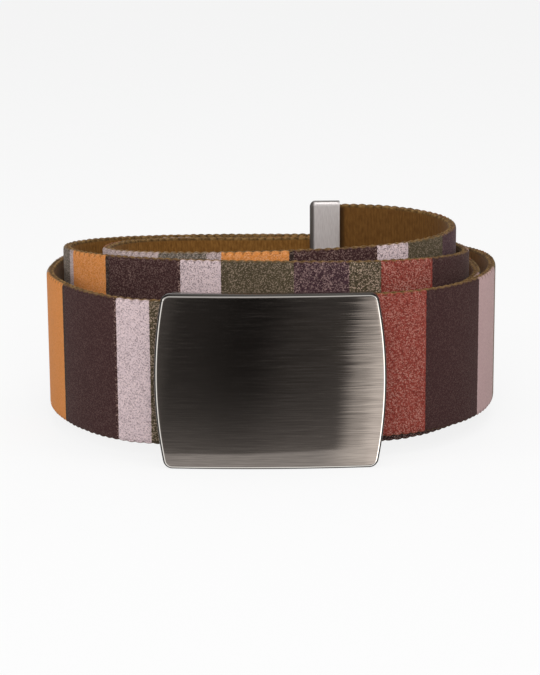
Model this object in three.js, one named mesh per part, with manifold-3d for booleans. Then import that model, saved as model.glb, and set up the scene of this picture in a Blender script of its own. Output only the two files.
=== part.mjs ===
// An elastic web belt with a plate buckle, rolled up and standing on its edge.
// Millimetres, +Z up. X runs along the buckle plate, Y from the plate to the back of the coil,
// and the coil stands on Z = 0 with its bounding box centred on the Z axis.
import * as THREE from "three";
import * as BufferGeometryUtils from "three/addons/utils/BufferGeometryUtils.js";
import Module from "manifold-3d";

const wasm = await Module();
wasm.setup();

// Clearance between pieces that touch
const GAP = 0.3;

// Elastic strap
const STRAP_WIDTH = 38;
const STRAP_THICKNESS = 2.2;
const STRAP_CHAMFER = 0.5;
const STRAP_STEP = 4.4;

// Buckle plate: a barrel-sided plate, bowed about a vertical axis
const PLATE_WIDTH = 58.6;
const PLATE_HEIGHT = 45.2;
const PLATE_THICKNESS = 3;
const PLATE_FRONT_Y = -9;
const PLATE_SIDE_RADIUS = 112;
const PLATE_FACE_RADIUS = 270;
const PLATE_CORNER_RADIUS = 2.4;
const PLATE_FRONT_BEVEL = 0.6;
const PLATE_BACK_BEVEL = 0.3;

// Buckle frame: the plain bracket behind the plate. A web carries a pad that the strap's fixed end is
// clamped against and a loop that the strap threads through. Values are along X, Y and Z.
const FRAME_HALF_LENGTH = 25;
const FRAME_WEB_BACK = -3;
const FRAME_BOTTOM = 3.2;
const FRAME_TOP = 43.4;
const FRAME_LINK_THICKNESS = 0.8;
const CLAMP_PAD = { left: 16, right: 25, back: 0.8 };
const LOOP = { left: -25, right: -20, front: 2.4, back: 4.2 };

// End tip: a pressed metal cap over the free end of the strap
const TIP_LENGTH = 8.6;
const TIP_WALL = 0.5;
const TIP_EDGE_RADIUS = 0.9;
const TIP_NOSE_RADIUS = 1.7;

// The strap's centre line seen from above, from the end that is fixed in the buckle, round the coil
// to the free end. Each row is one extreme of a turn or one end of a straight run: x and y are its
// place, top is the height of the strap's upper edge there, heading is the way the strap runs in
// degrees from +X, and before and after say how square the bend into and out of the row is.
const COIL = [
  { place: "fixed end", x: 15, y: 2.2, top: 43.1, heading: 0, before: 0, after: 0.73 },
  { place: "turn 1 right", x: 61.7, y: 55, top: 42.7, heading: 90, before: 0.47, after: 0.58 },
  { place: "turn 1 back", x: 0, y: 111, top: 38, heading: 180, before: 0.63, after: 0.8 },
  { place: "turn 1 left", x: -60.5, y: 49, top: 41.7, heading: 270, before: 0.74, after: 0.34 },
  { place: "into the buckle", x: -27, y: 0.8, top: 42.3, heading: 360, before: 0.56, after: 0.35 },
  { place: "out of the buckle", x: 27, y: 6.43, top: 41, heading: 366, before: 0.6, after: 0.38 },
  { place: "turn 2 right", x: 57.1, y: 48.6, top: 41.4, heading: 90, before: 0.48, after: 0.61 },
  { place: "turn 2 back", x: 10, y: 101.5, top: 42, heading: 180, before: 0.66, after: 0.38 },
  { place: "turn 2 left", x: -56.8, y: 59, top: 46.5, heading: 270, before: 0.52, after: 0.44 },
  { place: "turn 2 front", x: 21, y: 9.4, top: 50.4, heading: 360, before: 0.5, after: 0.42 },
  { place: "turn 3 right", x: 53.6, y: 45, top: 47.3, heading: 90, before: 0.52, after: 0.66 },
  { place: "turn 3 back", x: -2, y: 84, top: 44.1, heading: 180, before: 0.68, after: 0.62 },
  { place: "turn 3 left", x: -44.8, y: 47, top: 48, heading: 270, before: 0.6, after: 0.36 },
  { place: "turn 3 front", x: 10, y: 15, top: 52.5, heading: 360, before: 0.5, after: 0.6 },
  { place: "turn 4 right", x: 50.2, y: 48, top: 53.8, heading: 90, before: 0.6, after: 0.58 },
  { place: "into the tip", x: 20.5, y: 75, top: 55.1, heading: 180, before: 0.6, after: 0.33 },
  { place: "free end", x: 12.5, y: 75, top: 55.1, heading: 180, before: 0.33, after: 0 },
];

const colours = {
  webbing: new THREE.MeshStandardMaterial({ color: 0x54302f, roughness: 0.9, metalness: 0 }),
  plate: new THREE.MeshStandardMaterial({ color: 0x6b645e, roughness: 0.35, metalness: 1 }),
  bracket: new THREE.MeshStandardMaterial({ color: 0x8a8580, roughness: 0.45, metalness: 1 }),
  tip: new THREE.MeshStandardMaterial({ color: 0xb3adab, roughness: 0.3, metalness: 1 }),
};

function closedGeometry(positions, indices) {
  const geometry = new THREE.BufferGeometry();
  geometry.setAttribute("position", new THREE.Float32BufferAttribute(positions, 3));
  geometry.setIndex(indices);
  return geometry;
}

// Joins rings of points, all with the same count, and closes both ends. Seen from the last ring,
// each ring runs counter-clockwise, and cap(n) gives the triangles that fill a ring of n points.
function loft(rings, cap) {
  const count = rings[0].length;
  const positions = rings.flat(2);
  const indices = [];
  for (let ring = 0; ring + 1 < rings.length; ring++) {
    for (let k = 0; k < count; k++) {
      const a = ring * count + k;
      const b = ring * count + ((k + 1) % count);
      indices.push(a, b, b + count, a, b + count, a + count);
    }
  }
  const last = (rings.length - 1) * count;
  for (const [a, b, c] of cap(count)) {
    indices.push(a, c, b);
    indices.push(last + a, last + b, last + c);
  }
  return closedGeometry(positions, indices);
}

function fanCap(count) {
  return Array.from({ length: count - 2 }, (_, k) => [0, k + 1, k + 2]);
}

// A lid of strips between the upper and the lower half of a ring that is the same above and below
function mirrorCap(count) {
  const triangles = [];
  for (let above = 0; above < count / 2; above++) {
    const below = count - above;
    if (above > 0) triangles.push([above, above + 1, below]);
    if (above + 1 < below - 1) triangles.push([above + 1, below - 1, below % count]);
  }
  return triangles;
}

function toSolid(geometry) {
  const bare = geometry.clone();
  bare.deleteAttribute("normal");
  bare.deleteAttribute("uv");
  const merged = BufferGeometryUtils.mergeVertices(bare);
  const triVerts = Uint32Array.from(merged.index.array);
  const vertProperties = Float32Array.from(merged.attributes.position.array);
  return new wasm.Manifold(new wasm.Mesh({ numProp: 3, vertProperties, triVerts }));
}

function toGeometry(solid) {
  const mesh = solid.getMesh();
  return closedGeometry(Array.from(mesh.vertProperties), Array.from(mesh.triVerts));
}

// A bar along X whose front can follow a curve: its section is a rectangle in Y and Z
function curvedBar({ left, right, front, back, bottom, top, steps = 1 }) {
  const rings = [];
  for (let k = 0; k <= steps; k++) {
    const x = left + ((right - left) * k) / steps;
    rings.push([[x, front(x), bottom], [x, back, bottom], [x, back, top], [x, front(x), top]]);
  }
  return toSolid(loft(rings, fanCap));
}

// Strap

function bend(from, to) {
  const place = (row) => new THREE.Vector2(row.x, row.y);
  const along = (row) => {
    const angle = THREE.MathUtils.degToRad(row.heading);
    return new THREE.Vector2(Math.cos(angle), Math.sin(angle));
  };
  const reach = place(to).sub(place(from));
  const leave = along(from).multiplyScalar(Math.abs(reach.dot(along(from))) * from.after);
  const arrive = along(to).multiplyScalar(Math.abs(reach.dot(along(to))) * to.before);
  const first = place(from).add(leave);
  const second = place(to).sub(arrive);
  return new THREE.CubicBezierCurve(place(from), first, second, place(to));
}

// The height of the upper edge between the rows: a cubic that never overshoots a row
function edgeHeights(lengths) {
  const rise = lengths.map((length, k) => (COIL[k + 1].top - COIL[k].top) / length);
  const slopes = COIL.map((_, k) => {
    if (k === 0 || k === rise.length || rise[k - 1] * rise[k] <= 0) return 0;
    return (2 * rise[k - 1] * rise[k]) / (rise[k - 1] + rise[k]);
  });
  return (k, share) => {
    const h = lengths[k];
    const s2 = share * share;
    const s3 = s2 * share;
    const held = COIL[k].top * (2 * s3 - 3 * s2 + 1) + COIL[k + 1].top * (3 * s2 - 2 * s3);
    return held + h * slopes[k] * (s3 - 2 * s2 + share) + h * slopes[k + 1] * (s3 - s2);
  };
}

function strapSection(centre, along, top) {
  const t = STRAP_THICKNESS / 2;
  const c = STRAP_CHAMFER;
  const low = top - STRAP_WIDTH;
  const corners = [
    [t - c, low], [c - t, low], [-t, low + c], [-t, top - c],
    [c - t, top], [t - c, top], [t, top - c], [t, low + c],
  ];
  return corners.map(([out, z]) => [centre.x + along.y * out, centre.y - along.x * out, z]);
}

function strapGeometry() {
  const bends = COIL.slice(1).map((row, k) => bend(COIL[k], row));
  const lengths = bends.map((curve) => curve.getLength());
  const height = edgeHeights(lengths);
  const rings = [];
  bends.forEach((curve, k) => {
    const steps = Math.ceil(lengths[k] / STRAP_STEP);
    for (let step = k === 0 ? 0 : 1; step <= steps; step++) {
      const share = step / steps;
      rings.push(strapSection(curve.getPointAt(share), curve.getTangentAt(share), height(k, share)));
    }
  });
  return loft(rings, fanCap);
}

// Buckle plate

// The plate's outline, moved inwards by inset, as x and z about its centre: the upper half from
// the right side to the left one, and then the lower half back again
function plateOutline(inset) {
  const radius = PLATE_SIDE_RADIUS - inset;
  const arcCentre = PLATE_WIDTH / 2 - PLATE_SIDE_RADIUS;
  const corner = PLATE_CORNER_RADIUS - inset;
  const cornerZ = PLATE_HEIGHT / 2 - PLATE_CORNER_RADIUS;
  const cornerX = arcCentre + Math.sqrt((radius - corner) ** 2 - cornerZ ** 2);
  const sideAngle = Math.atan2(cornerZ, cornerX - arcCentre);
  const quarter = [];
  for (let k = 0; k < 8; k++) {
    const angle = (sideAngle * k) / 8;
    quarter.push([arcCentre + radius * Math.cos(angle), radius * Math.sin(angle)]);
  }
  for (let k = 0; k <= 4; k++) {
    const angle = sideAngle + ((Math.PI / 2 - sideAngle) * k) / 4;
    quarter.push([cornerX + corner * Math.cos(angle), cornerZ + corner * Math.sin(angle)]);
  }
  for (let k = 1; k <= 8; k++) {
    quarter.push([cornerX * (1 - k / 8), PLATE_HEIGHT / 2 - inset]);
  }
  const left = quarter.slice(0, -1).reverse().map(([x, z]) => [-x, z]);
  const upper = [...quarter, ...left];
  const lower = upper.slice(1, -1).reverse().map(([x, z]) => [x, -z]);
  return [...upper, ...lower];
}

function plateFront(x) {
  return PLATE_FRONT_Y + (x * x) / (2 * PLATE_FACE_RADIUS);
}

function plateGeometry() {
  const b = PLATE_FRONT_BEVEL;
  const levels = [
    { inset: PLATE_BACK_BEVEL, depth: PLATE_THICKNESS },
    { inset: 0, depth: PLATE_THICKNESS - PLATE_BACK_BEVEL },
    { inset: 0, depth: b },
    { inset: b * 0.3, depth: b * 0.3 },
    { inset: b, depth: 0 },
  ];
  const middle = PLATE_HEIGHT / 2;
  const rings = levels.map(({ inset, depth }) =>
    plateOutline(inset).map(([x, z]) => [x, plateFront(x) + depth, z + middle]));
  return loft(rings, mirrorCap);
}

// Buckle frame

function frameGeometry() {
  const behindPlate = (x) => plateFront(x) + PLATE_THICKNESS + GAP;
  const web = curvedBar({
    left: -FRAME_HALF_LENGTH,
    right: FRAME_HALF_LENGTH,
    front: behindPlate,
    back: FRAME_WEB_BACK,
    bottom: FRAME_BOTTOM,
    top: FRAME_TOP,
    steps: 12,
  });
  const pad = curvedBar({ ...CLAMP_PAD, front: behindPlate, bottom: FRAME_BOTTOM, top: FRAME_TOP, steps: 4 });
  const loop = { left: LOOP.left, right: LOOP.right, back: LOOP.back, bottom: FRAME_BOTTOM, top: FRAME_TOP };
  const bar = curvedBar({ ...loop, front: () => LOOP.front });
  const upper = curvedBar({ ...loop, front: behindPlate, bottom: FRAME_TOP - FRAME_LINK_THICKNESS });
  const lower = curvedBar({ ...loop, front: behindPlate, top: FRAME_BOTTOM + FRAME_LINK_THICKNESS });
  return toGeometry([pad, bar, upper, lower].reduce((joined, part) => joined.add(part), web));
}

// End tip, built with the strap's end running along +X and its nose at x = 0

function tipGeometry() {
  const half = STRAP_THICKNESS / 2 + GAP + TIP_WALL;
  const height = STRAP_WIDTH + 2 * (GAP + TIP_WALL);
  const edge = TIP_EDGE_RADIUS;
  const inner = half - edge;
  const nose = TIP_NOSE_RADIUS - edge;
  const outline = new THREE.Shape();
  outline.moveTo(TIP_LENGTH - edge, -inner);
  outline.lineTo(TIP_LENGTH - edge, inner);
  outline.lineTo(edge + nose, inner);
  outline.absarc(edge + nose, inner - nose, nose, Math.PI / 2, Math.PI, false);
  outline.absarc(edge + nose, nose - inner, nose, Math.PI, (Math.PI * 3) / 2, false);
  const cap = new THREE.ExtrudeGeometry(outline, {
    depth: height - 2 * edge,
    bevelEnabled: true,
    bevelSize: edge,
    bevelThickness: edge,
    bevelSegments: 3,
    curveSegments: 4,
  });
  cap.translate(0, 0, edge);
  const pocket = new THREE.BoxGeometry(TIP_LENGTH, STRAP_THICKNESS + 2 * GAP, STRAP_WIDTH + 2 * GAP);
  pocket.translate(TIP_LENGTH / 2 + TIP_WALL, 0, height / 2);
  return toGeometry(toSolid(cap).subtract(toSolid(pocket)));
}

function piece(name, geometry, material) {
  const mesh = new THREE.Mesh(geometry, material);
  mesh.name = name;
  return mesh;
}

const group = new THREE.Group();
group.add(piece("elastic_strap", strapGeometry(), colours.webbing));
group.add(piece("buckle_plate", plateGeometry(), colours.plate));
group.add(piece("buckle_frame", frameGeometry(), colours.bracket));

const freeEnd = COIL.at(-1);
const tip = piece("end_tip", tipGeometry(), colours.tip);
const tipBottom = freeEnd.top - STRAP_WIDTH - GAP - TIP_WALL;
tip.position.set(freeEnd.x - GAP - TIP_WALL, freeEnd.y, tipBottom);
group.add(tip);

// The origin is under the middle of the whole object's bounding box
const middle = new THREE.Box3().setFromObject(group).getCenter(new THREE.Vector3());
group.position.set(-middle.x, -middle.y, 0);
group.updateMatrixWorld(true);

export default group;
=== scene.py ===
# %% [markdown]
# A striped elastic belt, rolled up and standing on its edge.
# This notebook dresses a packed CAD model of the belt. The CAD says where everything is, in metres,
# with the coil standing on z = 0. Here each part gets its real surface: woven and printed webbing,
# a brushed plate and a pressed metal tip. Lengths are written in millimetres and become metres last.

import bpy
import numpy as np
from mathutils import Euler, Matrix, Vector


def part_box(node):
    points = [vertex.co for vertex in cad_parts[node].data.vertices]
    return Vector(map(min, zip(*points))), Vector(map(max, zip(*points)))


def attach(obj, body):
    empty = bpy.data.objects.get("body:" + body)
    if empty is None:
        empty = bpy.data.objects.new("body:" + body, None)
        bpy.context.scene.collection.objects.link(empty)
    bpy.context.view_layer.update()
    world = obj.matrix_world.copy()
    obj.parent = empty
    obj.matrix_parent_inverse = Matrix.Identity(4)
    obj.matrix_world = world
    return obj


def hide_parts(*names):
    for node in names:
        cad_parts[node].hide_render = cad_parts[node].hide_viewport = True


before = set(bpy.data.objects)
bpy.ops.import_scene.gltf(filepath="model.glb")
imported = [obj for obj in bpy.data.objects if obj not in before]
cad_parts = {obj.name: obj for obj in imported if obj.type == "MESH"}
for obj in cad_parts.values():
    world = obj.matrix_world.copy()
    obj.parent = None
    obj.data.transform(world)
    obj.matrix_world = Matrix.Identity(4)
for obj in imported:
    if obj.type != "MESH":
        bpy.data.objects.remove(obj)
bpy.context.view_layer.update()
MM = 0.001
print("CAD nodes:", sorted(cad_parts))

# %% [markdown]
# Shader maths reads best as plain expressions, such as 1 - mask. Blender builds it from nodes, so one
# small class wraps an output socket and turns each operator into its Math node. The other way would be
# to lay every node out by hand, which hides the idea behind a long list of links.

# %% A socket that understands arithmetic
class Signal:
    """One output socket of a shader node tree."""

    def __init__(self, socket):
        self.socket = socket

    @classmethod
    def node(cls, tree, kind, settings=None, inputs=None, output=0):
        """Adds a node: its settings first, then the values or links of its sockets."""
        node = tree.nodes.new(kind)
        for name, value in (settings or {}).items():
            if name == "stops":
                cls.fill_ramp(node.color_ramp, *value)
            else:
                setattr(node, name, value)
        for name, value in (inputs or {}).items():
            if isinstance(value, Signal):
                tree.links.new(value.socket, node.inputs[name])
            else:
                node.inputs[name].default_value = value
        return cls(node.outputs[output])

    @staticmethod
    def fill_ramp(ramp, interpolation, stops):
        ramp.interpolation = interpolation
        for k, (position, colour) in enumerate(stops):
            stop = ramp.elements[k] if k < 2 else ramp.elements.new(position)
            stop.position = position
            stop.color = colour

    def make(self, kind, settings=None, inputs=None, output=0):
        return Signal.node(self.socket.id_data, kind, settings, inputs, output)

    def math(self, operation, *values):
        return self.make("ShaderNodeMath", {"operation": operation}, dict(enumerate(values)))

    def vector_math(self, operation, *values):
        return self.make("ShaderNodeVectorMath", {"operation": operation}, dict(enumerate(values)))

    def __add__(self, other):
        return self.math("ADD", self, other)

    def __sub__(self, other):
        return self.math("SUBTRACT", self, other)

    def __rsub__(self, other):
        return self.math("SUBTRACT", other, self)

    def __mul__(self, other):
        return self.math("MULTIPLY", self, other)

    def __truediv__(self, other):
        return self.math("DIVIDE", self, other)

    def __rtruediv__(self, other):
        return self.math("DIVIDE", other, self)

    __radd__ = __add__
    __rmul__ = __mul__

    def rise(self, low, high):
        """0 below low and 1 above high, with a smooth step between them."""
        ends = {"Value": self, "From Min": low, "From Max": high}
        return self.make("ShaderNodeMapRange", {"interpolation_type": "SMOOTHSTEP"}, ends)

    def beside(self, name):
        """Another output of the node that this signal comes from."""
        return Signal(self.socket.node.outputs[name])

    def colours(self, first, second, mode="MIX"):
        """The first colour where this signal is 0, going over to the second where it is 1."""
        settings = {"data_type": "RGBA", "blend_type": mode}
        return self.make("ShaderNodeMix", settings, {0: self, 6: first, 7: second}, output=2)

    def stretched(self, x, y, z):
        """This vector with each of its parts multiplied."""
        return self.vector_math("MULTIPLY", self, (x, y, z))

    def noise(self, detail=2.0):
        """Soft noise from 0 to 1 with one lump for each unit of this vector."""
        return self.make("ShaderNodeTexNoise", {}, {"Vector": self, "Scale": 1.0, "Detail": detail})


print("Signal works out:", [name for name in vars(Signal) if not name.startswith("_")])

# %% [markdown]
# Every finish below starts from the same few steps, so they become functions here: a colour picked
# as it looks on a screen, a material, its links, and what a point of the mesh can tell it.

# %% Colours, and a new finish
def paint(red, green, blue):
    """A colour as it looks on a screen, 0 to 255, in the linear values that the shader works with."""
    share = np.array([red, green, blue]) / 255
    linear = np.where(share <= 0.04045, share / 12.92, ((share + 0.055) / 1.055) ** 2.4)
    return (*(float(v) for v in linear), 1.0)


def new_finish(name, **uniform):
    """A material with a Principled shader. uniform gives sockets that stay the same all over."""
    material = bpy.data.materials.new(name)
    material.use_nodes = True
    shader = material.node_tree.nodes["Principled BSDF"]
    for socket, value in uniform.items():
        shader.inputs[socket.replace("_", " ")].default_value = value
    return material, shader


def feed(shader, **signals):
    """Links signals to the shader's sockets."""
    for socket, signal in signals.items():
        shader.id_data.links.new(signal.socket, shader.inputs[socket.replace("_", " ")])


def from_mesh(shader, attribute, output):
    """What the mesh stores at each point under that name."""
    return Signal.node(shader.id_data, "ShaderNodeAttribute", {"attribute_name": attribute}, {}, output)


def in_millimetres(shader):
    """Where a point lies in the frame, in millimetres."""
    place = Signal.node(shader.id_data, "ShaderNodeTexCoord", {}, {}, "Object")
    return place.stretched(1 / MM, 1 / MM, 1 / MM)


def bumped(height, depth_mm, strength):
    """A normal that follows a height of 0 to 1, which stands for that many millimetres."""
    inputs = {"Height": height, "Distance": depth_mm * MM, "Strength": strength}
    return height.make("ShaderNodeBump", {}, inputs)


print("mid grey is", [round(v, 3) for v in paint(128, 128, 128)[:3]])

# %% [markdown]
# The strap is one long band, so everything on it hangs on one line: the coil seen from above. Its table
# has a row for each extreme of a turn, and each quarter turn between two rows is one Bezier curve. A
# physical simulation could roll a band up too, but it would not land where the real one lies.

# %% The coil's line, from the buckle to the free end
STRAP_WIDTH = 38
STRAP_THICKNESS = 2.2
# x, y, height of the upper edge, heading in degrees, and how square the bend is before and after
COIL = [
    (15, 2.2, 43.1, 0, 0, 0.73),
    (61.7, 55, 42.7, 90, 0.47, 0.58),
    (0, 111, 38, 180, 0.63, 0.8),
    (-60.5, 49, 41.7, 270, 0.74, 0.34),
    (-27, 0.8, 42.3, 360, 0.56, 0.35),
    (27, 6.43, 41, 366, 0.6, 0.38),
    (57.1, 48.6, 41.4, 90, 0.48, 0.61),
    (10, 101.5, 42, 180, 0.66, 0.38),
    (-56.8, 59, 46.5, 270, 0.52, 0.44),
    (21, 9.4, 50.4, 360, 0.5, 0.42),
    (53.6, 45, 47.3, 90, 0.52, 0.66),
    (-2, 84, 44.1, 180, 0.68, 0.62),
    (-44.8, 47, 48, 270, 0.6, 0.36),
    (10, 15, 52.5, 360, 0.5, 0.6),
    (50.2, 48, 53.8, 90, 0.6, 0.58),
    (20.5, 75, 55.1, 180, 0.6, 0.33),
    (12.5, 75, 55.1, 180, 0.33, 0),
]


def heading(degrees):
    return np.array([np.cos(np.radians(degrees)), np.sin(np.radians(degrees))])


def quarter(start, end, count=500):
    """Points of the Bezier curve between two rows."""
    first, last = np.array(start[:2]), np.array(end[:2])
    reach = last - first
    leave = first + heading(start[3]) * abs(reach @ heading(start[3])) * start[5]
    arrive = last - heading(end[3]) * abs(reach @ heading(end[3])) * end[4]
    t = np.linspace(0, 1, count)[:, None]
    early = (1 - t) ** 3 * first + 3 * (1 - t) ** 2 * t * leave
    return early + 3 * (1 - t) * t**2 * arrive + t**3 * last


def edge_heights(knots, at):
    """Height of the upper edge at those distances: a cubic that never overshoots a row."""
    top = np.array([row[2] for row in COIL], float)
    rise = np.diff(top) / np.diff(knots)
    both = rise[:-1] * rise[1:]
    slopes = np.zeros(len(top))
    same_way = both > 0
    slopes[1:-1][same_way] = 2 * both[same_way] / (rise[:-1] + rise[1:])[same_way]
    k = np.clip(np.searchsorted(knots, at, side="right") - 1, 0, len(rise) - 1)
    h = np.diff(knots)[k]
    t = (at - knots[k]) / h
    held = top[k] * (2 * t**3 - 3 * t**2 + 1) + top[k + 1] * (3 * t**2 - 2 * t**3)
    return held + h * slopes[k] * (t**3 - 2 * t**2 + t) + h * slopes[k + 1] * (t**3 - t**2)


print("the coil has", len(COIL) - 1, "quarter turns")

# %% [markdown]
# With the line drawn, a place on the band becomes a place in space: so far along, so far out from the
# middle of its thickness, and so far up from the middle of its width. Everything on the strap uses it.

# %% Places on the strap
class Line:
    """The strap's centre line: places on the band become places in space."""

    def __init__(self):
        quarters = [quarter(a, b) for a, b in zip(COIL, COIL[1:])]
        points = np.vstack([quarters[0][:1]] + [q[1:] for q in quarters])
        steps = np.linalg.norm(np.diff(points, axis=0), axis=1)
        self.distance = np.concatenate([[0], np.cumsum(steps)])
        self.length = float(self.distance[-1])
        self.points = points
        self.knots = self.distance[np.arange(len(COIL)) * (len(quarters[0]) - 1)]
        ways = np.gradient(points, self.distance, axis=0)
        self.ways = ways / np.linalg.norm(ways, axis=1)[:, None]
        outer = points + np.stack([self.ways[:, 1], -self.ways[:, 0]], -1) * STRAP_THICKNESS / 2
        low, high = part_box("elastic_strap")
        middle = np.array([low[0] + high[0], low[1] + high[1]]) / 2 / MM
        self.shift = middle - (outer.min(0) + outer.max(0)) / 2

    def place(self, along, out, up):
        """along from the buckle, out from the centre line and up from the middle of the width."""
        x = np.interp(along, self.distance, self.points[:, 0])
        y = np.interp(along, self.distance, self.points[:, 1])
        way_x = np.interp(along, self.distance, self.ways[:, 0])
        way_y = np.interp(along, self.distance, self.ways[:, 1])
        z = edge_heights(self.knots, along) - STRAP_WIDTH / 2 + up
        return np.stack([x + way_y * out + self.shift[0], y - way_x * out + self.shift[1], z], -1)


line = Line()
print(f"the strap is {line.length:.0f} mm long, moved by {line.shift.round(2)} mm")

# %% [markdown]
# The camera stands where the photograph was taken: about half a metre in front of the plate, a little
# above the belt and looking down at it. It comes early, because every later choice is judged from here.

# %% Camera
IMAGE_WIDTH, IMAGE_HEIGHT = 540, 675
SENSOR_MM = 36
FOCAL_PIXELS = 2000
CAMERA_PLACE_MM = (-0.6, -547.55, 142.3)
LOOKS_DOWN = 12.5
ROLL = 0.38

camera_data = bpy.data.cameras.new("photo_camera")
camera_data.sensor_width = SENSOR_MM
camera_data.lens = FOCAL_PIXELS * SENSOR_MM / max(IMAGE_WIDTH, IMAGE_HEIGHT)
camera_data.clip_start = 0.02
camera_data.clip_end = 100
camera = bpy.data.objects.new("photo_camera", camera_data)
camera.location = Vector(CAMERA_PLACE_MM) * MM
tilt = Euler((np.radians(90 - LOOKS_DOWN), 0, 0)).to_matrix()
camera.rotation_euler = (tilt @ Euler((0, 0, np.radians(-ROLL))).to_matrix()).to_euler()
bpy.context.scene.collection.objects.link(camera)
bpy.context.scene.camera = camera
bpy.context.scene.view_settings.view_transform = "Standard"
print(f"lens {camera_data.lens:.1f} mm")

# %% [markdown]
# Every piece here is a row of rings joined by faces. Points are worked out as arrays of numbers, which
# is quicker to write and to change than modelling by hand, and gives the same mesh on every run.

# %% Helpers that turn numbers into mesh objects
def new_piece(name, points_mm, faces, material, **stored):
    """A mesh object in the row frame. stored gives numbers or vectors to keep at each point."""
    mesh = bpy.data.meshes.new(name)
    mesh.from_pydata((np.asarray(points_mm) * MM).tolist(), [], faces)
    mesh.polygons.foreach_set("use_smooth", [True] * len(mesh.polygons))
    for key, values in stored.items():
        values = np.asarray(values, np.float32)
        kind, field = ("FLOAT", "value") if values.ndim == 1 else ("FLOAT_VECTOR", "vector")
        mesh.attributes.new(key, kind, "POINT").data.foreach_set(field, values.ravel())
    mesh.materials.append(material)
    mesh.update()
    piece = bpy.data.objects.new(name, mesh)
    bpy.context.scene.collection.objects.link(piece)
    print(f"{name}: {len(points_mm)} points, {len(faces)} faces")
    return piece


def tube_faces(rings, around, first=0, closed_ends=True):
    """Faces of a tube whose rings have that many points each, seen from outside."""
    ring, k = np.meshgrid(np.arange(rings - 1), np.arange(around), indexing="ij")
    a = first + ring * around + k
    b = first + ring * around + (k + 1) % around
    faces = np.stack([a, b, b + around, a + around], -1).reshape(-1, 4).tolist()
    if closed_ends:
        faces.append(list(range(first + around - 1, first - 1, -1)))
        last = first + (rings - 1) * around
        faces.append(list(range(last, last + around)))
    return faces


print("mesh helpers ready")

# %% [markdown]
# The webbing is white elastic with a printed face, so the stripes are colour and not separate yarns. The
# same stripes come round again on every turn. They could be cut as separate faces, but a band that
# stretches moves them a little, so the mesh stores how far along the pattern each point is, and one
# colour ramp holds a single repeat.

# %% Stripes of one repeat
REPEAT_MM = 340
ORANGE, BROWN, PINK = (206, 131, 66), (58, 36, 36), (203, 183, 186)
OLIVE, PLUM, RUST = (77, 68, 51), (68, 47, 53), (136, 57, 48)
STONE, BLUSH, SEAM, ROSE = (96, 89, 80), (176, 158, 156), (47, 36, 32), (186, 156, 155)
# where a stripe starts, and its colour
STRIPES = [
    (0, SEAM),
    (1.3, BROWN),
    (24.1, PINK),
    (36.2, OLIVE),
    (54.7, PLUM),
    (69.8, OLIVE),
    (77.9, RUST),
    (94, BROWN),
    (113, ROSE),
    (129, OLIVE),
    (150, RUST),
    (158, PLUM),
    (182, ORANGE),
    (203, SEAM),
    (204.3, BROWN),
    (228, PINK),
    (239, OLIVE),
    (258, RUST),
    (276, BLUSH),
    (305, STONE),
    (320.8, BLUSH),
    (324, ORANGE),
]
stripe_stops = [(start / REPEAT_MM, paint(*colour)) for start, colour in STRIPES]
print(len(stripe_stops), "stripes in a repeat of", REPEAT_MM, "mm")

# %% [markdown]
# Elastic never stretches evenly, so a table says where along the pattern each place on the strap is.
# A second table says how much bare yarn shows through the print, which changes with the stretch and
# with the light. Between two rows the first is read off a straight line, and the second jumps.

# %% Stretch and glints
# distance along the strap, and how far along the pattern it is there
STRETCH = [
    (0, 68.4),
    (13.4, 81.8),
    (25.5, 94),
    (46.5, 113),
    (281, 324),
    (301.3, 340),
    (325.7, 364.1),
    (334.7, 376.2),
    (393.4, 434),
    (424.9, 452),
    (611.6, 652),
    (624.6, 660.8),
    (627.4, 664),
    (642.8, 680),
    (666.7, 704.1),
    (678.4, 716.2),
    (697.8, 734.7),
    (712.4, 749.8),
    (720.6, 757.9),
    (736.9, 774),
    (762, 793.5),
    (946.6, 1000.8),
    (951.6, 1004),
    (969.6, 1020),
    (991.6, 1044.1),
    (1000.7, 1056.2),
    (1013.3, 1074.7),
    (1032.6, 1089.8),
    (1086, 1150),
]
# distance along the strap, and how strongly single yarns glint through the print from there on
GLINTS = [
    (0, 0.58),
    (25.5, 0.1),
    (62, 0.5),
    (250, 0.12),
    (325.7, 0.72),
    (334.7, 0.68),
    (440, 0.6),
    (627.4, 0.3),
    (642.8, 0.3),
    (666.7, 0.9),
    (678.4, 0.48),
    (697.8, 0.7),
    (712.4, 1),
    (720.6, 0.75),
    (736.9, 0.15),
    (792, 0.6),
    (946.6, 0.8),
    (951.6, 0.38),
    (969.6, 0.42),
    (991.6, 1),
    (1000.7, 0.35),
    (1013.3, 0.2),
    (1063, 0.4),
]


def pattern_place(along):
    knots = np.array(STRETCH, float)
    return np.interp(along, knots[:, 0], knots[:, 1])


def glint_at(along):
    knots = np.array(GLINTS, float)
    return knots[np.searchsorted(knots[:, 0], along, side="right") - 1, 1]


print(f"the pattern runs over {pattern_place(line.length) - pattern_place(0):.0f} mm on the strap")

# %% [markdown]
# Under the print the face is a fine, irregular weave: light yarns a quarter of a millimetre across
# glint between darker ones, and take some of their stripe's colour. The inner face has no print. It is
# bronze, with upright ribs where the weft crosses the rubber threads, and it falls into shade towards
# the tip. All this is far too fine for mesh, so it is colour and bump. A little sheen on top gives the
# soft light rim that cloth shows where it turns away.

# %% Webbing finish
LOOP_PITCH, RIB_PITCH = 2.4, 0.9
YARNS_PER_MM = 4.0
TIP_COVERS = 8
INK_RAGGED = 0.4
# a glint is its stripe times the first and plus the second, up to the third
GLINT_TINT = [(2.4, 2.4, 2.4), (0.58, 0.42, 0.35), (0.8, 0.63, 0.6)]
WEAVE_DEPTH = 0.13
# distances from the middle of the width, and along the strap, between which one look becomes another;
# the hollows between the loops get painted shade
YARN_STARTS, HOLLOW_SHADE, PRINT_ENDS = (17.8, 18.3), (17.7, 18.4), (18.6, 18.95)
INNER_SHADE = (985, 1045)


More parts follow.
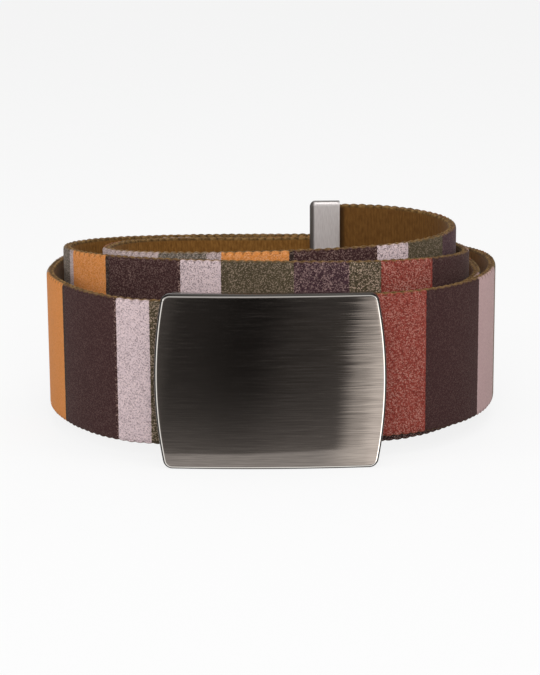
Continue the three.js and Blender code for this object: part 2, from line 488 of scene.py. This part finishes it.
def webbing_finish(name, edge_dark, edge_light):
    """Printed face, ribbed inner face, and yarn of those two colours along the edges."""
    material, shader = new_finish(
        name,
        Roughness=0.85,
        Specular_IOR_Level=0.12,
        Sheen_Weight=0.08,
        Sheen_Roughness=0.35,
        Sheen_Tint=(1, 0.8, 0.68, 1),
    )
    on_strap = from_mesh(shader, "on_strap", "Vector")
    along = on_strap.make("ShaderNodeSeparateXYZ", {}, {"Vector": on_strap})
    up = along.beside("Y")
    out = along.beside("Z")
    half_width = up.math("ABSOLUTE", up)

    # the print: one ramp holds a repeat, and the mesh says how much light yarn glints through
    lumps = on_strap.stretched(2.4, 1.6, 0.6).noise()
    repeats = (from_mesh(shader, "pattern", "Fac") + (lumps - 0.5) * INK_RAGGED) / REPEAT_MM
    repeat = repeats.math("FRACT", repeats)
    stripes = repeat.make("ShaderNodeValToRGB", {"stops": ("CONSTANT", stripe_stops)}, {"Fac": repeat})
    glint = from_mesh(shader, "glint", "Fac")
    yarns = on_strap.stretched(YARNS_PER_MM, YARNS_PER_MM, 1.0)
    yarn_colour = yarns.make("ShaderNodeTexVoronoi", {}, {"Vector": yarns, "Scale": 1.0}, "Color")
    dash = yarn_colour.make("ShaderNodeSeparateColor", {}, {"Color": yarn_colour})
    patchy = on_strap.stretched(0.16, 0.11, 0.1).noise()
    bright = dash.rise(0.5, 1.0) * glint * (patchy * 0.9 + 0.3)
    dark = (1 - dash.rise(0.0, 0.5)) * (glint * 0.6 + 0.06)
    gain, base, limit = GLINT_TINT
    tinted = stripes.vector_math("MULTIPLY_ADD", stripes, gain, base)
    tinted = tinted.vector_math("MINIMUM", tinted, limit)
    printed = (bright * 0.65).colours(stripes, tinted)
    printed = dark.colours(printed, paint(30, 22, 20))

    # bare yarn: bronze ribs on the inner face, and the threads that turn round the edges
    rib_turn = along * (2 * np.pi / RIB_PITCH) + lumps * 3.5
    ribs = rib_turn.math("SINE", rib_turn)
    tone = on_strap.stretched(1.3, 0.5, 1.0).noise(3.0)
    bronze = tone.rise(0.25, 0.75).colours(paint(104, 68, 28), paint(130, 90, 43))
    bronze = (ribs.rise(-1.0, -0.2) * 0.3 + 0.7).colours(paint(84, 54, 22), bronze)
    bronze = (along.rise(*INNER_SHADE) * 0.5).colours(bronze, paint(68, 43, 18))
    # painted shadow on the inner face just before it goes into the tip's mouth
    tip_mouth = line.length - TIP_COVERS
    bronze = (along.rise(tip_mouth - 1.9, tip_mouth - 0.3) * 0.75).colours(bronze, paint(34, 22, 11))
    loop_turn = along * (2 * np.pi / LOOP_PITCH)
    wave = loop_turn.math("COSINE", loop_turn)
    edge_tone = on_strap.stretched(0.55, 0.7, 0.9).noise(3.0)
    yarn = edge_tone.rise(0.38, 0.62).colours(paint(*edge_dark), paint(*edge_light))
    # painted shade on the edge yarn in the hollows between the loops
    yarn = (wave.rise(0.55, 1.0) * 0.45).colours(yarn, paint(46, 32, 18))
    yarn = (out.rise(0.0, 0.8) * 0.4).colours(yarn, stripes)
    bare = half_width.rise(*YARN_STARTS).colours(bronze, yarn)

    # the print ends in a scalloped line just below the edge, with painted shade in the hollows between
    # the loops
    hollow_shade = half_width.rise(*HOLLOW_SHADE) * wave.rise(0.45, 1.0)
    printed = (hollow_shade * 0.5).colours(printed, paint(40, 28, 20))
    print_edge = half_width + wave * 0.15 + lumps * 0.3
    on_face = out.rise(0.4, 0.8) * (1 - print_edge.rise(*PRINT_ENDS))
    inner_relief = ribs * 0.25 + tone * 0.9
    outer_relief = dash * 0.7 + lumps * 0.5
    relief = on_face * outer_relief + (1 - on_face) * inner_relief
    feed(shader, Base_Color=on_face.colours(bare, printed), Normal=bumped(relief, WEAVE_DEPTH, 0.8))
    return material


webbing = webbing_finish("striped_webbing", (80, 56, 28), (104, 76, 40))
edge_yarn = webbing_finish("selvedge_yarn", (88, 64, 34), (122, 94, 56))
print("webbing and its edge yarn ready")

# %% [markdown]
# The band itself is swept along the coil's line: one cross-section of 20 points, repeated every 0.6 mm
# or so. It stops short of the full width, because the threads that turn round its edges come next.

# %% The strap
SECTION = [
    (1.1, -17.9), (1.1, 0), (1.1, 17.9), (1.06, 18.2), (0.9, 18.42), (0.5, 18.54), (0, 18.58),
    (-0.5, 18.54), (-0.9, 18.42), (-1.06, 18.2), (-1.1, 17.9), (-1.1, 0), (-1.1, -17.9),
    (-1.06, -18.2), (-0.9, -18.42), (-0.5, -18.54), (0, -18.58),
    (0.5, -18.54), (0.9, -18.42), (1.06, -18.2),
]


def stored_along(on_strap):
    """What the webbing finish reads from the mesh."""
    along = on_strap[:, 0]
    return {"on_strap": on_strap, "pattern": pattern_place(along), "glint": glint_at(along)}


def sweep(name, along_mm, section, material):
    """A band with that cross-section along the strap."""
    section = np.array(section)
    along_all = np.repeat(along_mm, len(section))
    out_all = np.tile(section[:, 0], len(along_mm))
    up_all = np.tile(section[:, 1], len(along_mm))
    points = line.place(along_all, out_all, up_all)
    on_strap = np.stack([along_all, up_all, out_all / (STRAP_THICKNESS / 2)], -1)
    faces = tube_faces(len(along_mm), len(section))
    return new_piece(name, points, faces, material, **stored_along(on_strap))


RING_SPACING = 0.6
rings_along = np.linspace(0, line.length, int(line.length / RING_SPACING))
strap = sweep("striped_strap", rings_along, SECTION, webbing)
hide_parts("elastic_strap")
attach(strap, "root")

# %% [markdown]
# Along both edges the weft turns back in small loops, which give the belt its scalloped outline. Each
# edge gets two rows of them, one nearer the face and one nearer the back. A row is one thread that
# rises and falls once for each loop, so a thin tube along a wavy line makes them all at once.

# %% Selvedge loops
THREAD_RADIUS = 0.46
THREAD_SIDES = 6
STEPS_PER_LOOP = 12
LOOP_FOOT, LOOP_RISE, LOOP_UNEVEN = 18.12, 0.36, 0.05
THREAD_OUT, PULLED_IN, LEAN = 0.62, 0.06, 0.12
ROW_SHIFT = 0.3


def selvedge(name, side):
    """Both rows of loops on one edge: side is 1 for the upper and -1 for the lower one."""
    count = int(line.length / LOOP_PITCH * STEPS_PER_LOOP)
    along_mm = np.linspace(0.5, line.length - 0.5, count)
    turn = np.linspace(0, 2 * np.pi, THREAD_SIDES, endpoint=False)
    all_points, all_places, faces = [], [], []
    rng = np.random.default_rng(11 if side > 0 else 12)
    for row, face in enumerate((1, -1)):
        phase = along_mm / LOOP_PITCH + ROW_SHIFT * row
        loop = np.floor(phase).astype(int)
        uneven = rng.uniform(-1, 1, loop.max() + 2)[loop]
        arch = abs(np.sin(np.pi * phase)) ** 0.5
        up_mm = LOOP_FOOT + (LOOP_RISE + LOOP_UNEVEN * uneven) * arch
        out_mm = face * (THREAD_OUT - PULLED_IN * arch)
        lean = LEAN * np.sin(2 * np.pi * phase)
        ring_up = (up_mm[:, None] + THREAD_RADIUS * np.sin(turn)[None, :]).ravel()
        ring_out = (out_mm[:, None] + THREAD_RADIUS * np.cos(turn)[None, :] * side).ravel()
        ring_along = np.repeat(along_mm + lean, THREAD_SIDES)
        first = sum(len(p) for p in all_points)
        all_points.append(line.place(np.clip(ring_along, 0, line.length), ring_out, ring_up * side))
        all_places.append(np.stack([ring_along, ring_up * side, ring_out / (STRAP_THICKNESS / 2)], -1))
        faces += tube_faces(count, THREAD_SIDES, first)
    places = np.vstack(all_places)
    piece = new_piece(name, np.vstack(all_points), faces, edge_yarn, **stored_along(places))
    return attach(piece, "root")


upper_loops = selvedge("upper_selvedge", 1)
lower_loops = selvedge("lower_selvedge", -1)

# %% [markdown]
# The buckle plate is dark nickel, brushed along its length. Its rounded rim carries a painted highlight,
# a bright line, with painted shade on the darker side behind it. The brushing is a noise stretched into
# long thin streaks, which moves the roughness and tilts the surface a little. An anisotropic shader is
# another way, but streaks that can be seen one by one look closer.

# %% Brushed nickel
nickel, nickel_shader = new_finish("brushed_nickel", Metallic=1.0)
nickel_mm = in_millimetres(nickel_shader)
long_streaks = nickel_mm.stretched(0.07, 0.3, 5.6).noise(3.0)
fine_streaks = nickel_mm.stretched(0.2, 0.3, 8.0).noise(2.0)
streaks = long_streaks * 0.6 + fine_streaks * 0.4
rim = from_mesh(nickel_shader, "rim", "Fac")
face_colour = streaks.rise(0.3, 0.7).colours(paint(110, 103, 98), paint(141, 133, 127))
# painted highlight: a bright line round the rounded rim, with painted shade on its outer side
painted_rim_highlight = rim.rise(0.1, 0.3) * (1 - rim.rise(0.38, 0.52))
painted_rim_shade = rim.rise(0.38, 0.52) * (1 - rim.rise(0.93, 1.0) * 0.62)
plate_colour = painted_rim_highlight.colours(face_colour, paint(238, 233, 227))
plate_colour = painted_rim_shade.colours(plate_colour, paint(52, 49, 46))
across_tilt = (long_streaks - 0.5) * (1 - rim) * 0.09
upright_tilt = (fine_streaks - 0.5) * (1 - rim) * 0.02
tilt_vector = across_tilt.make("ShaderNodeCombineXYZ", {}, {"X": across_tilt, "Z": upright_tilt})
plain_normal = Signal.node(nickel_shader.id_data, "ShaderNodeNewGeometry", {}, {}, "Normal")
tilted = plain_normal.vector_math("ADD", plain_normal, tilt_vector)
brushed_normal = tilted.vector_math("NORMALIZE", tilted)
plate_roughness = 0.09 + streaks.rise(0.5, 0.75) * (1 - rim) * 0.12
feed(nickel_shader, Base_Color=plate_colour, Roughness=plate_roughness, Normal=brushed_normal)
print("brushed nickel ready")

# %% [markdown]
# The plate has bowed sides, small corners and a face that curves a little, which is what bends its
# reflections. Its outline is drawn once and repeated as rings: inwards and back round the front edge,
# then along the side. A bevel modifier would round it too, but the rings also know how far round the
# edge they are, and the finish needs that for its painted highlight and painted shade.

# %% The plate
PLATE_WIDTH, PLATE_HEIGHT, PLATE_THICKNESS = 58.6, 45.2, 3
PLATE_SIDE_RADIUS, PLATE_FACE_RADIUS, PLATE_CORNER_RADIUS = 112, 270, 2.4
FRONT_ROUNDING, BACK_ROUNDING, FLAT_MARGIN = 0.85, 0.3, 0.35


def plate_outline(inset):
    """x and z about the plate's middle: the upper half from right to left, then the lower half."""
    radius = PLATE_SIDE_RADIUS - inset
    arc_x = PLATE_WIDTH / 2 - PLATE_SIDE_RADIUS
    corner = PLATE_CORNER_RADIUS - inset
    corner_z = PLATE_HEIGHT / 2 - PLATE_CORNER_RADIUS
    corner_x = arc_x + np.sqrt((radius - corner) ** 2 - corner_z**2)
    side = np.arctan2(corner_z, corner_x - arc_x)
    a = np.linspace(0, side, 18, endpoint=False)
    b = np.linspace(side, np.pi / 2, 9)
    c = np.linspace(1, 0, 31)[1:]
    right = np.concatenate([
        np.stack([arc_x + radius * np.cos(a), radius * np.sin(a)], -1),
        np.stack([corner_x + corner * np.cos(b), corner_z + corner * np.sin(b)], -1),
        np.stack([corner_x * c, np.full(len(c), PLATE_HEIGHT / 2 - inset)], -1),
    ])
    upper = np.concatenate([right, right[-2::-1] * (-1, 1)])
    return np.concatenate([upper, upper[-2:0:-1] * (1, -1)])


def rounding(radius, steps):
    """inset, depth and share of the turn on a quarter circle, from the face to the side."""
    angle = np.linspace(0, np.pi / 2, steps)
    return [(radius * (1 - np.sin(a)), radius * (1 - np.cos(a)), np.sin(a)) for a in angle]


low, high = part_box("buckle_plate")
plate_middle = (low + high) / 2 / MM
plate_front = low[1] / MM
front_levels = [(FRONT_ROUNDING + FLAT_MARGIN, 0, 0)] + rounding(FRONT_ROUNDING, 13)
back_levels = []
for inset, depth, _ in rounding(BACK_ROUNDING, 4)[::-1]:
    back_levels.append((inset, PLATE_THICKNESS - depth, 1))
back_levels.append((BACK_ROUNDING + FLAT_MARGIN, PLATE_THICKNESS, 1))
levels = (front_levels + back_levels)[::-1]
plate_points, plate_rim = [], []
for inset, depth, rim_share in levels:
    ring = plate_outline(inset)
    y = plate_front + ring[:, 0] ** 2 / (2 * PLATE_FACE_RADIUS) + depth
    plate_points.append(np.stack([ring[:, 0] + plate_middle[0], y, ring[:, 1] + plate_middle[2]], -1))
    plate_rim.append(np.full(len(ring), rim_share))

around = len(plate_points[0])
plate_faces = tube_faces(len(levels), around, closed_ends=False)
last = (len(levels) - 1) * around
# strips from the upper to the lower half close the face and the back
for k in range(around // 2):
    strip = [k, k + 1, (around - k - 1) % around, (around - k) % around]
    strip = list(dict.fromkeys(strip))
    plate_faces.append(strip[::-1])
    plate_faces.append([last + n for n in strip])
rim_at = np.concatenate(plate_rim)
plate = new_piece("brushed_plate", np.vstack(plate_points), plate_faces, nickel, rim=rim_at)
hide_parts("buckle_plate")
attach(plate, "root")

# %% [markdown]
# The tip on the strap's free end is light satin steel, with a fine grain and no single streaks. Its
# nose and its rims turn away from the light and are darker, and the mesh stores where they are.

# %% Satin steel
satin, satin_shader = new_finish("satin_steel", Metallic=0.85)
satin_grain = in_millimetres(satin_shader).stretched(5, 5, 0.5).noise(3.0)
tip_colour = satin_grain.rise(0.3, 0.7).colours(paint(226, 219, 217), paint(238, 232, 230))
nose = from_mesh(satin_shader, "nose", "Fac")
tip_colour = nose.rise(0.05, 0.45).colours(tip_colour, paint(92, 87, 84))
feed(
    satin_shader,
    Base_Color=tip_colour,
    Roughness=0.46 + satin_grain * 0.1,
    Normal=bumped(satin_grain, 0.01, 0.4),
)
print("satin steel ready")

# %% [markdown]
# The tip is a cap pressed from thin sheet and pushed over the strap's end. It is lofted along the
# strap: rounded rectangles that grow out of the nose, run straight, turn in at the open end and go
# back inside, so the wall can be seen where the strap enters.

# %% The tip cap
TIP_WALL = 0.5
NOSE_RADIUS, NOSE_FLAT = 1.6, 0.25
EDGE_RADIUS = 1.15
DARK_RIM = 0.45
MOUTH_ROUNDING, MOUTH_DRAWN_IN = 0.15, 0.12
SEEN_INSIDE = 4


def rounded_rectangle(half_y, half_z, radius):
    """y and z round a rectangle with rounded corners, the same count whatever its size."""
    turn = np.linspace(0, np.pi / 2, 8)
    corner_y = half_y - radius + radius * np.cos(turn)
    corner_z = half_z - radius + radius * np.sin(turn)
    corner = np.stack([corner_y, corner_z], -1)
    upper = np.concatenate([corner, corner[::-1] * (-1, 1)])
    return np.concatenate([upper, upper[::-1] * (1, -1)])


low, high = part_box("end_tip")
tip_low, tip_high = np.array(low) / MM, np.array(high) / MM
tip_middle = (tip_low + tip_high) / 2
tip_half = (tip_high - tip_low) / 2
tip_rings = []
for angle in np.linspace(0, np.pi / 2, 9):
    pull = NOSE_RADIUS * (1 - np.sin(angle))
    x = tip_low[0] + NOSE_RADIUS * (1 - np.cos(angle))
    half_y = tip_half[1] - min(pull, tip_half[1] - NOSE_FLAT)
    tip_rings.append((x, half_y, tip_half[2] - pull, min(EDGE_RADIUS, half_y)))
straight = tip_high[0] - MOUTH_ROUNDING - tip_low[0] - NOSE_RADIUS
for share in np.linspace(0.15, 1, 6):
    x = tip_low[0] + NOSE_RADIUS + straight * share
    tip_rings.append((x, tip_half[1], tip_half[2], EDGE_RADIUS))
outer = (tip_half[1] - MOUTH_DRAWN_IN, tip_half[2] - MOUTH_DRAWN_IN, EDGE_RADIUS - 0.1)
tip_rings.append((tip_high[0], *outer))
inner = (tip_half[1] - TIP_WALL, tip_half[2] - TIP_WALL, EDGE_RADIUS - 0.45)
tip_rings.append((tip_high[0], inner[0] + 0.1, inner[1] + 0.1, inner[2] + 0.1))
tip_rings.append((tip_high[0] - MOUTH_ROUNDING, *inner))
tip_rings.append((tip_high[0] - SEEN_INSIDE, *inner))

tip_points, tip_nose = [], []
for x, half_y, half_z, radius in tip_rings:
    ring = rounded_rectangle(half_y, half_z, radius)
    at_rim = np.clip((abs(ring[:, 1]) - tip_half[2]) / DARK_RIM + 1, 0, 1) * 0.35
    at_nose = np.clip(1 - (x - tip_low[0]) / NOSE_RADIUS, 0, 1)
    tip_nose.append(np.maximum(at_rim, at_nose))
    y, z = ring[:, 0] + tip_middle[1], ring[:, 1] + tip_middle[2]
    tip_points.append(np.column_stack([np.full(len(ring), x), y, z]))
tip_faces = tube_faces(len(tip_rings), len(tip_points[0]))
tip = new_piece("tip_cap", np.vstack(tip_points), tip_faces, satin, nose=np.concatenate(tip_nose))
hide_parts("end_tip")
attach(tip, "root")

# %% [markdown]
# The bracket behind the plate keeps its CAD shape, because it is plain and rigid. It only needs steel.

# %% The bracket's finish
steel, steel_shader = new_finish("bracket_steel", Metallic=1.0)
steel_grain = in_millimetres(steel_shader).stretched(0.25, 2.0, 2.5).noise(4.0)
steel_colour = steel_grain.rise(0.3, 0.7).colours(paint(150, 145, 140), paint(176, 171, 166))
feed(
    steel_shader,
    Base_Color=steel_colour,
    Roughness=0.3 + steel_grain * 0.2,
    Normal=bumped(steel_grain, 0.02, 0.4),
)
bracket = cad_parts["buckle_frame"]
for material_slot in bracket.material_slots:
    material_slot.material = steel
print("bracket dressed")

# %% [markdown]
# The photograph is a catalogue picture: a white table under soft, even light. The table glows a little
# by itself, so it stays pale and keeps only a faint shadow.

# %% The table
TABLE_HALF = 12000
table_corners = [(-1, -1), (1, -1), (1, 1), (-1, 1)]


def table_plane(name, depth_mm, base, glow):
    """A flat, pale surface at that depth below the belt, with a little light of its own."""
    material, shader = new_finish(name, Roughness=0.9, Emission_Strength=glow)
    shader.inputs["Base Color"].default_value = (base, base, base, 1)
    shader.inputs["Emission Color"].default_value = (1, 1, 1, 1)
    shader.inputs["Specular IOR Level"].default_value = 0
    material.cycles.emission_sampling = "NONE"
    points = [(x * TABLE_HALF, y * TABLE_HALF, -depth_mm) for x, y in table_corners]
    return new_piece(name, points, [[0, 1, 2, 3]], material)


# the camera and the metal see one that glows, and the webbing gets its light from a plain one
table = table_plane("table", 0, 0.12, 0.83)
table.visible_diffuse = table.visible_shadow = False
table_bounce = table_plane("table_bounce", 0.2, 0.45, 0)
table_bounce.visible_camera = table_bounce.visible_glossy = False

# %% [markdown]
# The brushed plate shows whatever lies in front of it, as a mirror would. A photographer puts a dark
# card there, and so does this scene: it has a bright patch at its right, and the white table shows
# nearest to the plate. Nothing but reflections sees it, so it changes no other light.

# %% The card in front of the plate
# the card shows within this much of the plate's middle, and spreads by this share for each mm ahead
MIRROR_HALF, SPREAD = 30, 0.00924
# where across the mirror, from 0 to 1, and how bright it is there
CARD_LIGHT = [
    (0, 0.2),
    (0.035, 0.08),
    (0.36, 0.035),
    (0.62, 0.12),
    (0.775, 0.14),
    (0.87, 1.1),
    (0.96, 2.1),
]
card_finish, card_shader = new_finish("reflection_card", Roughness=1.0)
card_shader.inputs["Base Color"].default_value = (0, 0, 0, 1)
card_shader.inputs["Specular IOR Level"].default_value = 0
card_shader.inputs["Emission Strength"].default_value = 1
card_finish.cycles.emission_sampling = "NONE"

# how far ahead of the plate a point of the card is, and where across the mirror it shows
card_mm = in_millimetres(card_shader)
sideways = card_mm.make("ShaderNodeSeparateXYZ", {}, {"Vector": card_mm})
ahead = plate_front - sideways.beside("Y")
on_plate = sideways / (1 + ahead * SPREAD)
across = (on_plate + MIRROR_HALF) / (2 * MIRROR_HALF) - (ahead - 60) * 0.0005
card_stops = [(position, (v, v * 0.975, v * 0.945, 1)) for position, v in CARD_LIGHT]
card_light = across.make("ShaderNodeValToRGB", {"stops": ("EASE", card_stops)}, {"Fac": across})
fade = (ahead - 20) * (-1 / 32)
near_glow = fade.math("EXPONENT", fade) * 0.25
card_light = near_glow.colours(card_light, (1, 0.98, 0.965, 1), "ADD")

# nearest to the plate the white table shows, up to a slanting line
at_foot = 1 - (ahead - sideways * 0.105).rise(13.8, 14.4)
foot_light = across.rise(0.7, 0.95).colours((0.97, 0.97, 0.97, 1), (2.1, 2.06, 2.0, 1))
card_light = at_foot.colours(card_light, foot_light, "LIGHTEN")
feed(card_shader, Emission_Color=card_light)

# x, and how far ahead of the plate
CARD_CORNERS = [(-29, 0.3), (300, 0.3), (300, 430), (-210, 430)]
CARD_HEIGHT = 0.4
card_points = [(x, plate_front - distance, CARD_HEIGHT) for x, distance in CARD_CORNERS]
card = new_piece("reflection_card", card_points, [[0, 1, 2, 3]], card_finish)
card.visible_camera = card.visible_diffuse = card.visible_shadow = False

# %% [markdown]
# The light is even and has no hard edge. A large square above the camera does most of the work, and
# smaller ones lift the top and the sides. Their size in the scene sets how soft a shadow is. The large
# one is kept out of reflections, because it would draw a wide white band round the metal rims.

# %% Soft light
world = bpy.data.worlds.new("studio")
world.use_nodes = True
world.node_tree.nodes["Background"].inputs["Color"].default_value = (1, 1, 1, 1)
world.node_tree.nodes["Background"].inputs["Strength"].default_value = 0.6
bpy.context.scene.world = world


def softbox(name, place_mm, aim_mm, size_mm, radiance):
    """A square light that glows evenly. Its power follows from how bright its face is."""
    data = bpy.data.lights.new(name, "AREA")
    data.shape = "SQUARE"
    data.size = size_mm * MM
    data.energy = radiance * np.pi * data.size**2
    lamp = bpy.data.objects.new(name, data)
    lamp.location = Vector(place_mm) * MM
    lamp.rotation_euler = (Vector(aim_mm) - Vector(place_mm)).to_track_quat("-Z", "Y").to_euler()
    bpy.context.scene.collection.objects.link(lamp)
    print(f"{name}: {data.energy:.1f} W")
    return lamp


front_top = softbox("front_top", (0, -1200, 700), (0, 0, 20), 700, 5.0)
front_top.visible_glossy = False
softbox("overhead", (100, -100, 900), (0, 0, 20), 600, 2.2)
softbox("left_side", (-800, -400, 350), (0, 0, 20), 400, 4.1)
softbox("right_side", (800, -500, 350), (0, 0, 20), 400, 2.2)

# %% [markdown]
